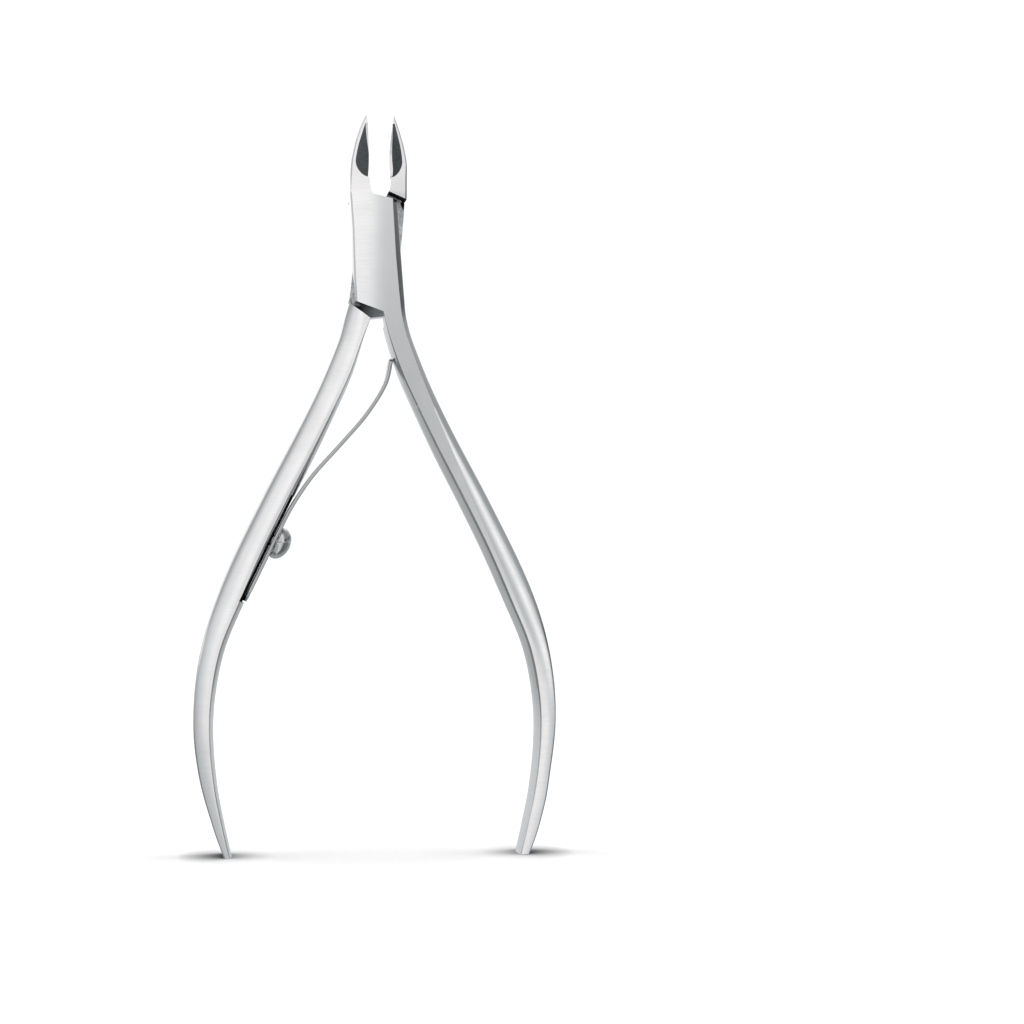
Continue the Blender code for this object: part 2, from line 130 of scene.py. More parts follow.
# The tool that cuts it has five sides, and the one that leaves the honed strip is the fourth of each ring's
SIDES_OF_FACET_TOOL = 5
HONED_FACE = 3
FACET_RING_LENGTH = 0.15
FACET_PAST_EDGE = -0.8
LEAST_FACET = 0.01
LEAST_FLOOR = 0.002
NO_STRIP = 0.001
FACET_SHARE_FRONT = 1.0
FACET_SHARE_BACK = 0.8
FACET_LIP = 0.08
FACET_SLOPE = 1.5

# The handle, open: (height, value)
ARM_OUTER = ((79.8, 4.6), (76.1, 5.6), (67.9, 9.08), (53.0, 16.8), (41.0, 22.45), (30.7, 25.85), (20.5, 27.0),
             (12.0, 26.15), (3.9, 23.9), (0.0, 22.45))
ARM_INNER = ((76.8, 1.95), (71.6, 3.75), (67.9, 5.42), (60.4, 9.1), (53.0, 12.95), (45.5, 16.65),
             (38.1, 19.9), (30.7, 22.9), (23.2, 24.3), (17.0, 24.45), (9.8, 23.7), (3.9, 22.5), (0.0, 21.6))
ARM_INNER_TOP_FRONT = ((99.2, -1.2), (89.2, -0.8), (84.0, 0.2), (80.9, 0.94))
ARM_INNER_TOP_BACK = ((99.2, -2.0), (89.2, -1.6), (84.0, -0.3), (79.9, 0.77))
FRONT_ARM_WIDER = ((84.0, -0.15), (75.0, -0.08), (62.0, -0.15), (52.0, 0.0), (45.0, 0.12), (38.0, 0.24),
                   (30.0, 0.08), (22.5, 0.0), (16.0, -0.13), (12.0, -0.08), (8.0, 0.27), (4.0, 0.48),
                   (0.0, 0.55))
BACK_ARM_WIDER = ((84.0, 0.0), (0.0, 0.0))
ARM_HALF_DEPTH = ((99.2, 3.0), (50.0, 3.0), (44.0, 3.0), (37.0, 2.99), (30.0, 2.97), (20.0, 2.9), (8.0, 2.68),
                  (1.2, 2.46), (0.0, 2.35))
# The arms' front and back faces, as tables of the flat share and of the arc's first and last angle. The front
# lever's arm keeps the joint's chamfer for a while, and the back lever's is rounded from its shoulder down.
FRONT_ARM_FACE = (((99.2, 0.84), (84.0, 0.8), (72.0, 0.78), (66.0, 0.7), (58.0, 0.48), (50.0, 0.28),
                   (42.0, 0.2), (0.0, 0.2)),
                  ((84.0, 33.0), (72.0, 33.0), (65.0, 20.0), (57.0, 7.0), (49.0, 2.0), (0.0, 2.0)),
                  ((84.0, 50.0), (72.0, 50.0), (65.0, 45.0), (57.0, 36.0), (40.0, 28.0), (20.0, 20.0),
                   (0.0, 16.0)))
BACK_ARM_FACE = (((99.2, 0.84), (84.0, 0.8), (81.0, 0.4), (76.0, 0.2), (0.0, 0.2)),
                 ((84.0, 33.0), (81.0, 6.0), (76.0, 2.0), (0.0, 2.0)),
                 ((84.0, 50.0), (81.0, 30.0), (60.0, 28.0), (40.0, 28.0), (20.0, 20.0), (0.0, 16.0)))
ARM_CORNER = ((84.0, 0.4), (70.0, 0.4), (58.0, 0.75), (40.0, 0.6), (20.0, 0.45), (0.0, 0.25))
ARM_CROWN = ((99.2, 0.0), (80.5, 0.0), (76.8, 0.22), (66.0, 0.55), (55.0, 0.77), (35.0, 0.68), (20.0, 0.5),
             (0.0, 0.3))

# Where the arm's cross-sections are drawn: (from, to, distance), and singly where it is in the joint
ARM_RINGS = ((0.0, 0.9, 0.15), (0.9, 75.0, 0.9), (75.0, 84.0, 0.6))
ARM_TOP_RINGS = [84.0, 89.2, 98.6]
BLOCK_SIDE_HEIGHTS = (99.2, 92.0, 87.0, 83.0)

# How far the arms' inner edges are broken
ARM_EDGE = ((84.0, 0.02), (80.0, 0.05), (70.0, 0.2), (40.0, 0.22), (0.0, 0.12))

# The rivet
RIVET_RADIUS = 1.6
RIVET_HEAD_RADIUS = 2.5
RIVET_HEAD_DEPTH = 0.9
RIVET_HEAD_RIM = 0.15
RIVET_BELOW_FACE = 0.03
RIVET_FRONT = -1.7
RIVET_BORE_PAST_FACE = 1.0

# The leaf spring: its middle line from the foot to the tip, (x, z)
LEAF_LINE = ((-19.4, 37.8), (-17.85, 40.9), (-16.05, 44.6), (-14.2, 48.4), (-12.3, 52.0), (-9.3, 56.4),
             (-4.96, 61.25), (-1.3, 65.5), (1.5, 70.0), (2.42, 73.8))
LEAF_STEPS = 150
LEAF_THICKNESS = 0.55
LEAF_WIDTH_FOOT = 3.8
LEAF_WIDTH_TIP = 2.5
LEAF_EDGE = 0.16
LEAF_FOOT_FLAT = 0.12
LEAF_TIP_ROUNDING = 0.6
LEAF_HOLE_GAP = 0.1
LEAF_SMOOTH_ANGLE = math.radians(50)

# The flat ground into the handle under the spring's foot, and the deeper rebate along its front, which shows
# as a dark line beside the spring; their cut faces are painted near black as shade. Both gaps are from the
# spring's middle line.
SEAT_GAP = 0.35
SEAT_HALF_WIDTH = 2.15
REBATE_GAP = 0.82
REBATE_BACK = -1.95
SEAT_BELOW = 0.3
SEAT_ABOVE = 5.3
SEAT_CUT_HEIGHT = 3.0

# The screw that holds it
SCREW_AT = (-15.03, 46.7)
SCREW_HEAD_RADIUS = 2.45
SCREW_HEAD_HEIGHT = 2.2
SCREW_RIM = 0.4
SCREW_SHANK_RADIUS = 0.9
SCREW_LENGTH = 2.6
SCREW_POINT = 0.3
SCREW_POINT_SHARE = 0.7
SCREW_RIM_ROUNDING = 0.15
SCREW_HOLE_SPARE = 0.2
SLOT_WIDTH = 0.7
SLOT_DEPTH = 0.9

# The relief ground into the back lever's lap face below its jaw, its cut faces painted near black as shade,
# (x, z)
RELIEF = ((3.85, 97.1), (4.1, 97.45), (4.8, 97.2), (4.7, 95.95), (4.3, 96.0), (4.05, 96.5))
RELIEF_DEPTH = 0.6

# The polished joint is a low dome, steepest at 0.58 of this distance in metres from the middle. The scale
# makes its greatest slope the one asked for.
CROWN_HALF_WIDTH = 0.0055
CROWN_SCALE = 1.54

# The painted shade in the recess below the joint's plate, in metres: between which heights the lapped faces
# turn into it, and from where to where across it grows paler
PAINTED_RECESS_SHADE_HEIGHTS = (0.0816, 0.0822)
PAINTED_RECESS_SHADE_SIDES = (-0.0022, 0.0012)

# The camera: level, a little to the left, looking at the nipper's middle
CAMERA_YAW = math.radians(5.0)
CAMERA_DISTANCE = 0.3
CAMERA_HEIGHT = 0.05
CAMERA_LENS = 70.7
CAMERA_SHIFT = (0.134, 0.0065)


def make_camera():
    """The camera at the photograph's viewing angle."""
    data = bpy.data.cameras.new("camera")
    data.lens = CAMERA_LENS
    data.sensor_width = 36.0
    data.shift_x, data.shift_y = CAMERA_SHIFT
    data.clip_start = 0.005
    camera = bpy.data.objects.new("camera", data)
    bpy.context.collection.objects.link(camera)
    away = Vector((-math.sin(CAMERA_YAW), -math.cos(CAMERA_YAW), 0)) * CAMERA_DISTANCE
    camera.location = away + Vector((0, 0, CAMERA_HEIGHT))
    camera.rotation_euler = (-away).to_track_quat("-Z", "Y").to_euler()
    bpy.context.scene.camera = camera


# ---------------------------------------------------------------- shapes

def smooth(points, at):
    """The value at a position on the smooth curve through (position, value) points."""
    points = sorted(points)
    at = min(max(at, points[0][0]), points[-1][0])
    index = max(i for i in range(len(points) - 1) if points[i][0] <= at)

    def slope(i):
        before, after = points[max(i - 1, 0)], points[min(i + 1, len(points) - 1)]
        return (after[1] - before[1]) / (after[0] - before[0])

    (low, start), (high, end) = points[index], points[index + 1]
    span = high - low
    t = (at - low) / span
    return ((2 * t ** 3 - 3 * t ** 2 + 1) * start + (t ** 3 - 2 * t ** 2 + t) * span * slope(index)
            + (3 * t ** 2 - 2 * t ** 3) * end + (t ** 3 - t ** 2) * span * slope(index + 1))


def steps(first, last, length):
    """Evenly spaced positions from first to last, about length apart, without last."""
    count = max(1, round((last - first) / length))
    return [first + (last - first) * i / count for i in range(count)]


def line_at(line, x):
    """The height at x of the straight line through two points."""
    (x0, z0), (x1, z1) = line
    return z0 + (z1 - z0) * (x - x0) / (x1 - x0)


def solid(name, vertices, faces, slot=STEEL):
    """A mesh object from points in millimetres, with its faces pointing out and all in one slot."""
    mesh = bpy.data.meshes.new(name)
    mesh.from_pydata([Vector(v) * MM for v in vertices], [], faces)
    model = bmesh.new()
    model.from_mesh(mesh)
    bmesh.ops.recalc_face_normals(model, faces=model.faces)
    for face in model.faces:
        face.material_index = slot
    model.to_mesh(mesh)
    model.free()
    for material in LEVER_MATERIALS:
        mesh.materials.append(material)
    item = bpy.data.objects.new(name, mesh)
    bpy.context.collection.objects.link(item)
    return item


def loft(name, rings, slot=STEEL):
    """A solid skinned over rings of the same number of points, closed flat at both ends."""
    count = len(rings[0])
    vertices = [point for ring in rings for point in ring]
    faces = [list(range(count)), list(range(len(vertices) - count, len(vertices)))]
    for level in range(len(rings) - 1):
        for i in range(count):
            here, beside = level * count + i, level * count + (i + 1) % count
            faces.append([here, beside, beside + count, here + count])
    return solid(name, vertices, faces, slot)


def prism(name, outline, front, back, slot=STEEL):
    """A solid with an (x, z) outline, from y = front to y = back."""
    return loft(name, [[(x, y, z) for x, z in outline] for y in (front, back)], slot)


def turned(name, profile, slot=STEEL):
    """A solid turned about Y from an (y, radius) profile, closed at both ends."""
    angles = [2 * math.pi * i / ROUND_SIDES for i in range(ROUND_SIDES)]
    return loft(name, [[(r * math.cos(a), y, r * math.sin(a)) for a in angles] for y, r in profile], slot)


def combine(body, tool, operation):
    """Joins or cuts the body with the tool, which is used up and leaves its slots on the cut faces."""
    change = body.modifiers.new(operation, "BOOLEAN")
    change.operation = operation
    change.object = tool
    graph = bpy.context.evaluated_depsgraph_get()
    result = bpy.data.meshes.new_from_object(body.evaluated_get(graph))
    body.modifiers.clear()
    body.data = result
    bpy.data.objects.remove(tool)


def move(item, matrix):
    """Moves the points of an object's mesh."""
    item.data.transform(matrix)


def swing(opening, pivot_x):
    """Takes what is drawn closed, about x = 0, to its place in a lever that stands open."""
    above, pivot = Vector((0, 0, PIVOT_Z)) * MM, Vector((pivot_x, 0, PIVOT_Z)) * MM
    return Matrix.Translation(pivot) @ Matrix.Rotation(-opening, 4, "Y") @ Matrix.Translation(-above)


def section(inner, outer, half_depth, flat, start, turn, corner, crown, edge=0.0):
    """The (u, y) points round one cross-section of a lever, where u runs from its inner side outwards.

    The front and back faces are flat over part of the width. They then lean away evenly, from the start
    angle to the turn angle, and a rounded corner leads to the flat outer side. The inner side is crowned, and
    its edges can be broken. The points at part of the flat's width keep its shading even.
    """
    first, last = inner + (outer - inner) * flat, outer - corner * (1 - math.sin(turn))
    break_in = min(edge, (first - inner) * MOST_BROKEN)
    level = first - inner - break_in
    shares = BROKEN_FLAT_SHARES if edge else (1.0,)
    fall, front = 0.0, [(inner + break_in + level * share, 0.0) for share in shares]
    for i in range(ARC_STEPS):
        fall += (last - first) / ARC_STEPS * math.tan(start + (turn - start) * (i + 0.5) / ARC_STEPS)
        front.append((first + (last - first) * (i + 1) / ARC_STEPS, fall))
    for i in range(1, BEND_STEPS + 1):
        angle = turn + (math.pi / 2 - turn) * i / BEND_STEPS
        front.append((outer - corner + corner * math.sin(angle),
                      fall + corner * (math.cos(turn) - math.cos(angle))))
    points = [(u, fallen - half_depth) for u, fallen in front]
    points += [(u, half_depth - fallen) for u, fallen in reversed(front)]
    for i in range(CROWN_STEPS + 1):
        share = 1 - 2 * i / CROWN_STEPS
        points.append((inner - crown * (1 - share ** 2), (half_depth - break_in) * share))
    return points


def jaw_blank(wider):
    """The left jaw with the left side of the joint, closed, at full depth."""
    rings = []
    for height in JAW_LOW_RINGS + steps(JAW_FORK, JAW_TIP, JAW_RING_LENGTH) + [JAW_TIP]:
        outer = smooth(JAW_OUTER, height) + smooth(wider, height)
        inner = smooth(JAW_INNER, height) if height >= JAW_FORK else -PLATE_CENTRE_OVERLAP
        edge = min(JAW_EDGE, (outer - inner) / 2)
        ring = section(inner, outer, smooth(JAW_HALF_DEPTH, height), 1 - edge / (outer - inner),
                       JAW_EDGE_START, JAW_EDGE_TURN, edge * JAW_CORNER / JAW_EDGE, 0.0)
        rings.append([(-u, y, PIVOT_Z + height) for u, y in ring])
    return loft("jaw", rings)


def arm_blank(opening, pivot_x, inner_top, wider, face):
    """The right handle with the right side of the joint, open, at full depth."""
    edge = pivot_x + BLOCK_HALF_WIDTH / math.cos(opening)
    side = tuple((z, edge + (PIVOT_Z - z) * math.tan(opening)) for z in BLOCK_SIDE_HEIGHTS)
    heights = [height for first, last, length in ARM_RINGS for height in steps(first, last, length)]
    rings = []
    for height in heights + ARM_TOP_RINGS:
        inner = smooth(inner_top + ARM_INNER, height)
        outer = smooth(side + ARM_OUTER, height) + smooth(wider, height)
        flat, start, turn = (smooth(table, height) for table in face)
        ring = section(inner, outer, smooth(ARM_HALF_DEPTH, height), flat, math.radians(start),
                       math.radians(turn), smooth(ARM_CORNER, height), smooth(ARM_CROWN, height),
                       smooth(ARM_EDGE, height))
        rings.append([(u, y, height) for u, y in ring])
    return loft("arm", rings)


def facet_cutter(side, honed, share):
    """The tool that grinds the facet on the front (side -1) or back (side 1) of a closed left jaw.

    The facet takes up the given share of its full width. Its floor is level and bright beside the edge, and
    its other faces get the ground steel, darkened partly as painted shade.
    """
    past_edge = FACET_PAST_EDGE
    rings = []
    for z in steps(FACET_FOOT, FACET_TOP, FACET_RING_LENGTH) + [FACET_TOP]:
        outer = max(smooth(FACET_OUTLINE, z) * share, past_edge + LEAST_FACET)
        kink = min(smooth(honed, z), outer - LEAST_FLOOR)
        half_depth = smooth(JAW_HALF_DEPTH, z)

        def floor(u):
            return half_depth - FACET_LIP - FACET_SLOPE * max(smooth(FACET_FLOOR_SIDE, z) * share - u, 0.0)

        ring = [(past_edge, BEYOND_DEPTH), (past_edge, floor(kink)), (kink, floor(kink)),
                (outer, floor(outer)), (outer, BEYOND_DEPTH)]
        if kink < past_edge + LEAST_FACET:
            ring[1:3] = [(past_edge, floor(outer)), (past_edge + NO_STRIP, floor(outer))]
        rings.append([(-u, side * y, PIVOT_Z + z) for u, y in ring])
    tool = loft("facet_cutter", rings, GROUND_AND_SHADE)
    for index in range(HONED_FACE, len(tool.data.polygons), SIDES_OF_FACET_TOOL):
        tool.data.polygons[index].material_index = STEEL
    return tool


def across_block(line, height):
    """A four-sided (x, z) outline from a line across the block to a height above or below the pivot."""
    ends = [(x, PIVOT_Z + line_at(line, x)) for x in (-BEYOND, BEYOND)]
    return ends + [(BEYOND, PIVOT_Z + height), (-BEYOND, PIVOT_Z + height)]


def lever(name, opening, pivot_x, inner_top, jaw_wider, arm_wider, arm_face, foot, shoulder, facet):
    """A whole lever, drawn as the front one and open."""
    opened = swing(opening, pivot_x)
    body = jaw_blank(jaw_wider)
    body.name = name
    below = prism("foot_cutter", across_block(foot, -BEYOND_HEIGHT), -BEYOND_DEPTH, BEYOND_DEPTH)
    combine(body, below, "DIFFERENCE")
    combine(body, facet_cutter(*facet), "DIFFERENCE")
    move(body, opened)

    arm = arm_blank(opening, pivot_x, inner_top, arm_wider, arm_face)
    level = PIVOT_Z + line_at(PLATE_TOP, 0.0)
    above = [(0.0, level), (BEYOND, PIVOT_Z + line_at(PLATE_TOP, BEYOND)), (BEYOND, PIVOT_Z + BEYOND_HEIGHT),
             (-BEYOND, PIVOT_Z + BEYOND_HEIGHT), (-BEYOND, level)]
    top_cutter = prism("top_cutter", above, -BEYOND_DEPTH, BEYOND_DEPTH)
    move(top_cutter, opened)
    combine(arm, top_cutter, "DIFFERENCE")
    combine(body, arm, "UNION")

    top = [(x, PIVOT_Z + line_at(JAW_SHOULDER, x)) for x in (BEYOND, -BEYOND)]
    bottom = [(x, PIVOT_Z + line_at(shoulder, x)) for x in (-BEYOND, BEYOND)]
    lap_cutter = prism("lap_cutter", top + bottom, -LAP_GAP / 2, BEYOND_DEPTH, LAPPED)
    # The shoulder faces that the cutter's top leaves get the near-black painted shade
    for face in lap_cutter.data.polygons:
        if face.normal.z > 0.5:
            face.material_index = SHADED
    move(lap_cutter, opened)
    combine(body, lap_cutter, "DIFFERENCE")
    return body


def at_pivot(item):
    """Moves a piece turned about Y to the pivot."""
    move(item, Matrix.Translation(Vector((PIVOT_X, 0, PIVOT_Z)) * MM))
    return item


def rivet_profile(gap):
    """The rivet's (y, radius) profile, grown by a gap all round for the bores."""
    back = BLOCK_HALF_DEPTH - RIVET_BELOW_FACE
    shank, head = RIVET_RADIUS + gap, RIVET_HEAD_RADIUS + gap
    end = back + (RIVET_BORE_PAST_FACE if gap else 0.0)
    return ((RIVET_FRONT - gap, shank), (back - RIVET_HEAD_DEPTH - gap / 2, shank),
            (back - RIVET_HEAD_RIM, head), (end, head))


def screw_frame():
    """The matrix that takes Y to the screw's outward direction, at the spring's face."""
    foot, above = Vector((LEAF_LINE[1][0], 0, LEAF_LINE[1][1])), Vector((LEAF_LINE[3][0], 0, LEAF_LINE[3][1]))
    along = (above - foot).normalized()
    outward = Vector((along.z, 0, -along.x))
    turn = Matrix((outward.cross(along), outward, along)).transposed().to_4x4()
    return Matrix.Translation(Vector((SCREW_AT[0], 0, SCREW_AT[1])) * MM) @ turn


def rod(name, radius, start, end):
    """A round bar along the screw's axis, from start to end past the spring's middle line."""
    bar = turned(name, ((start, radius), (end, radius)))
    move(bar, screw_frame())
    return bar


def seat_cutter(gap, front, back):
    """The tool that grinds a flat under the spring's foot, at a distance from its middle line, leaving faces
    of near-black painted shade.
    """
    seat = []
    for x, z in (LEAF_LINE[0], LEAF_LINE[3]):
        seat.append(Vector((x, 0, z)) - screw_frame().to_3x3() @ Vector((0, gap, 0)))
    along = (seat[1] - seat[0]).normalized()
    low, high = seat[0] - along * SEAT_BELOW, seat[1] + along * SEAT_ABOVE
    away = screw_frame().to_3x3() @ Vector((0, SEAT_CUT_HEIGHT, 0))
    outline = [(p.x, p.z) for p in (low, high, high + away, low + away)]
    return prism("seat_cutter", outline, front, back, SHADED)


def spring_screw():
    """A slotted dome-headed screw."""
    under = LEAF_THICKNESS / 2 + RUNNING_GAP
    rim = SCREW_HEAD_RADIUS
    round_off = SCREW_RIM_ROUNDING
    profile = [(-SCREW_LENGTH, SCREW_SHANK_RADIUS * SCREW_POINT_SHARE),
               (-SCREW_LENGTH + SCREW_POINT, SCREW_SHANK_RADIUS),
               (under, SCREW_SHANK_RADIUS), (under, rim - 0.2)]
    profile += [(under + round_off * math.sin(a), rim - round_off + round_off * (1 - math.cos(a)))
                for a in (math.radians(d) for d in (15, 30, 45, 60, 75, 90))]
    profile.append((under + SCREW_RIM, rim))
    dome = SCREW_HEAD_HEIGHT - SCREW_RIM
    for i in range(1, 30):
        angle = math.radians(3 * i)
        profile.append((under + SCREW_RIM + dome * math.sin(angle), rim * math.cos(angle)))
    screw = turned("spring_screw_fine", profile)
    top = under + SCREW_HEAD_HEIGHT
    half, reach = SLOT_WIDTH / 2, SCREW_HEAD_RADIUS + 1.0
    outline = [(-half, -reach), (half, -reach), (half, reach), (-half, reach)]
    slot = prism("slot_cutter", outline, top - SLOT_DEPTH, top + 1.0)
    combine(screw, slot, "DIFFERENCE")
    move(screw, screw_frame())
    return screw


def leaf_spring():
    """A bent strip with rounded edges, rounded at the foot and narrower towards the tip."""
    places = list(range(len(LEAF_LINE)))
    last = places[-1]
    centres = []
    for i in range(LEAF_STEPS + 1):
        t = last * i / LEAF_STEPS
        x = smooth(tuple(zip(places, (p[0] for p in LEAF_LINE))), t)
        z = smooth(tuple(zip(places, (p[1] for p in LEAF_LINE))), t)
        centres.append(Vector((x, 0, z)))
    rings = []
    for i, centre in enumerate(centres):
        before, after = centres[max(i - 1, 0)], centres[min(i + 1, LEAF_STEPS)]
        along = (after - before).normalized()
        outward = Vector((along.z, 0, -along.x))
        half = (LEAF_WIDTH_FOOT + (LEAF_WIDTH_TIP - LEAF_WIDTH_FOOT) * i / LEAF_STEPS) / 2
        from_foot = (centre - centres[0]).length + LEAF_FOOT_FLAT
        if from_foot < half:
            half = math.sqrt(half ** 2 - (half - from_foot) ** 2)
        from_tip = (centre - centres[-1]).length
        if from_tip < LEAF_TIP_ROUNDING:
            half -= LEAF_TIP_ROUNDING * (1 - from_tip / LEAF_TIP_ROUNDING) ** 2
        thick, edge = LEAF_THICKNESS / 2, LEAF_EDGE
        ring = []
        for side_u, side_v in ((1, 1), (1, -1), (-1, -1), (-1, 1)):
            turn = (0, 30, 60, 90) if side_u * side_v > 0 else (90, 60, 30, 0)
            for degrees in turn:
                a = math.radians(degrees)
                u = side_u * (thick - edge + edge * math.sin(a))
                v = side_v * (half - edge + edge * math.cos(a))
                ring.append(centre + outward * u + Vector((0, v, 0)))
        rings.append(ring)
    return loft("leaf_spring_fine", rings)


def soften(item, width, angle):
    """Rounds off an object's sharp edges a little and shades it smooth, after merging its slivers."""
    item.data.shade_smooth()
    item.data.set_sharp_from_angle(angle=SMOOTH_ANGLE)
    weld = item.modifiers.new("slivers", "WELD")
    weld.merge_threshold = SLIVER * MM
    bevel = item.modifiers.new("edges", "BEVEL")
    bevel.width = width * MM
    bevel.segments = 2
    bevel.limit_method = "ANGLE"
    bevel.angle_limit = angle
    bevel.harden_normals = True
    bevel.use_clamp_overlap = True


# ---------------------------------------------------------------- materials

class Nodes:
    """Short ways to add nodes to a tree."""

    def __init__(self, tree):
        self.tree = tree

    def add(self, kind, inputs=(), **settings):
        node = self.tree.nodes.new(kind)
        for key, value in settings.items():
            setattr(node, key, value)
        for key, value in dict(inputs).items():
            if isinstance(value, bpy.types.NodeSocket):
                self.tree.links.new(value, node.inputs[key])
            else:
                node.inputs[key].default_value = value
        return node

    def math(self, operation, a, b=0.0):
        return self.add("ShaderNodeMath", {0: a, 1: b}, operation=operation).outputs[0]

    def noise(self, vector, scale, detail=3.0, roughness=0.5):
        node = self.add("ShaderNodeTexNoise", {"Vector": vector, "Scale": scale, "Detail": detail,
                                               "Roughness": roughness})
        return node.outputs["Fac"]

    def stretched(self, x, y, z):
        """Object coordinates in metres, multiplied along each axis."""
        place = self.add("ShaderNodeTexCoord").outputs["Object"]
        return self.add("ShaderNodeMapping", {"Vector": place, "Scale": (x, y, z)}).outputs[0]

    def ramp(self, value, low, high, out_low, out_high):
        node = self.add("ShaderNodeMapRange", {"Value": value, "From Min": low, "From Max": high,
                                               "To Min": out_low, "To Max": out_high})
        return node.outputs[0]

    def colours(self, value, dark, light):
        node = self.add("ShaderNodeMix", {0: value, 6: (*dark, 1.0), 7: (*light, 1.0)}, data_type="RGBA")
        return node.outputs[2]


def metal(name, dark, light, roughness, brush, brush_depth, mottle=0.0, metallic=1.0, crown=0.0,
          recess=False):
    """Brushed or ground steel. brush is the number of strokes per metre along X, Y and Z.

    recess paints shade into the colour of the faces that lie below the joint's plate.
    recess darkens the faces that lie below the joint's plate.
    """
    material = bpy.data.materials.new(name)
    material.use_nodes = True
    shader = material.node_tree.nodes["Principled BSDF"]
    nodes = Nodes(material.node_tree)
    strokes = nodes.noise(nodes.stretched(*brush), 1.0, 4.0, 0.6)
    clouds = nodes.noise(nodes.stretched(1, 1, 1), 260.0, 3.0, 0.5)
    specks = nodes.noise(nodes.stretched(1, 1, 1), 4200.0, 2.0, 0.6)
    shade = nodes.math("ADD", nodes.math("MULTIPLY", strokes, 0.5), nodes.math("MULTIPLY", clouds, 0.5))
    shade = nodes.math("ADD", shade, nodes.math("MULTIPLY", nodes.math("SUBTRACT", specks, 0.5), mottle))
    shader.inputs["Metallic"].default_value = metallic
    links = material.node_tree.links
    colour = nodes.colours(nodes.ramp(shade, 0.3, 0.7, 0.0, 1.0), dark, light)
    # Painted shade: below the joint's plate the colour turns near black, paler towards the right
    if recess:
        place = nodes.add("ShaderNodeSeparateXYZ", {0: nodes.stretched(1, 1, 1)}).outputs
        below = nodes.ramp(place[2], *PAINTED_RECESS_SHADE_HEIGHTS, 1.0, 0.0)
        grey = nodes.ramp(place[0], *PAINTED_RECESS_SHADE_SIDES, 0.0, 1.0)
        recess_shade_colour = nodes.colours(grey, (0.006, 0.008, 0.009), (0.3, 0.32, 0.33))
        colour = nodes.add("ShaderNodeMix", {0: below, 6: colour, 7: recess_shade_colour}, data_type="RGBA").outputs[2]
    links.new(colour, shader.inputs["Base Color"])
    rough = nodes.ramp(shade, 0.3, 0.7, roughness[1], roughness[0])
    links.new(rough, shader.inputs["Roughness"])
    grain = nodes.math("ADD", strokes, nodes.math("MULTIPLY", specks, mottle))
    height = nodes.math("MULTIPLY", grain, brush_depth)
    across = nodes.add("ShaderNodeSeparateXYZ", {0: nodes.stretched(1, 1, 1)}).outputs[0]
    square = nodes.math("ADD", nodes.math("MULTIPLY", across, across), CROWN_HALF_WIDTH ** 2)
    dome = nodes.math("DIVIDE", crown * CROWN_SCALE * CROWN_HALF_WIDTH ** 3, square)
    height = nodes.math("ADD", height, dome)
    bump = nodes.add("ShaderNodeBump", {"Height": height, "Strength": 1.0, "Distance": 1.0})
    links.new(bump.outputs[0], shader.inputs["Normal"])
    return material


satin = metal("satin_steel", (0.76, 0.765, 0.77), (0.83, 0.835, 0.84), (0.15, 0.22), (300, 300, 5200),
              0.000001, crown=0.07)
# Ground steel of the jaws' facets: duller from grinding, and darkened further as painted shade where the
# facets face each other
ground = metal("ground_facet_and_shade", (0.075, 0.09, 0.095), (0.14, 0.155, 0.16), (0.45, 0.62), (700, 700, 1600),
               0.000003, mottle=0.6, metallic=0.5)
# Lapped steel, with painted shade in the recess below the joint's plate
lapped = metal("lapped_steel_and_recess_shade", (0.26, 0.275, 0.28), (0.62, 0.64, 0.65), (0.3, 0.5), (900, 900, 1600),
               0.00002, mottle=0.9, metallic=0.9, recess=True)
# Near-black painted shade for faces in recesses and under ledges
shaded = metal("painted_shade_steel", (0.002, 0.002, 0.002), (0.007, 0.008, 0.008), (0.7, 0.85),
               (900, 900, 1600), 0.000004, mottle=0.5, metallic=0.0)
shaded.node_tree.nodes["Principled BSDF"].inputs["Specular IOR Level"].default_value = 0.1
bright = metal("bright_steel", (0.43, 0.44, 0.45), (0.46, 0.47, 0.48), (0.12, 0.16), (900, 900, 900),
               0.0000002)
polished = metal("polished_steel", (0.5, 0.51, 0.52), (0.62, 0.63, 0.64), (0.05, 0.1), (900, 900, 900),
                 0.0000002)
LEVER_MATERIALS = (satin, ground, lapped, shaded)


def only(item, material):
    """Gives a whole piece one material."""
    item.data.materials.clear()
    item.data.materials.append(material)
    for face in item.data.polygons:
        face.material_index = 0


# ---------------------------------------------------------------- light

# The studio as steel mirrors it, by direction round the nipper in degrees from straight ahead of it, positive
# to the right: (degrees, brightness). The rings go from the floor up, and each gives way to the next between
# two heights.
FLOOR_RING = ((-180, 0.42), (-130, 0.38), (-112, 0.2), (-95, 0.14), (-62, 0.14), (-48, 0.42), (-20, 0.5),
              (0, 0.52), (10, 0.84), (20, 0.78), (40, 0.66), (62, 0.16), (95, 0.14), (112, 0.2), (130, 0.36),
              (180, 0.42))
LOWER_RING = ((-180, 0.55), (-150, 0.55), (-117, 0.48), (-95, 0.36), (-65, 0.36), (-50, 0.36), (-38, 0.42),
              (-24, 0.62), (-10, 0.82), (2, 0.84), (10, 0.88), (20, 0.93), (28, 0.88), (37, 0.58), (50, 0.5),
              (90, 0.34), (115, 0.42), (150, 0.5), (180, 0.55))
LEVEL_RING = ((-180, 0.6), (-160, 0.6), (-135, 0.55), (-117, 0.46), (-100, 0.38), (-88, 0.4), (-76, 0.36),
              (-60, 0.36), (-46, 0.48), (-30, 0.7), (-16, 0.86), (-7, 0.86), (0, 0.63), (6, 0.42), (14, 0.37),
              (24, 0.43), (32, 0.6), (42, 0.9), (51, 0.9), (58, 0.5), (66, 0.2), (74, 0.14), (92, 0.15),
              (126, 0.28), (150, 0.4), (180, 0.6))
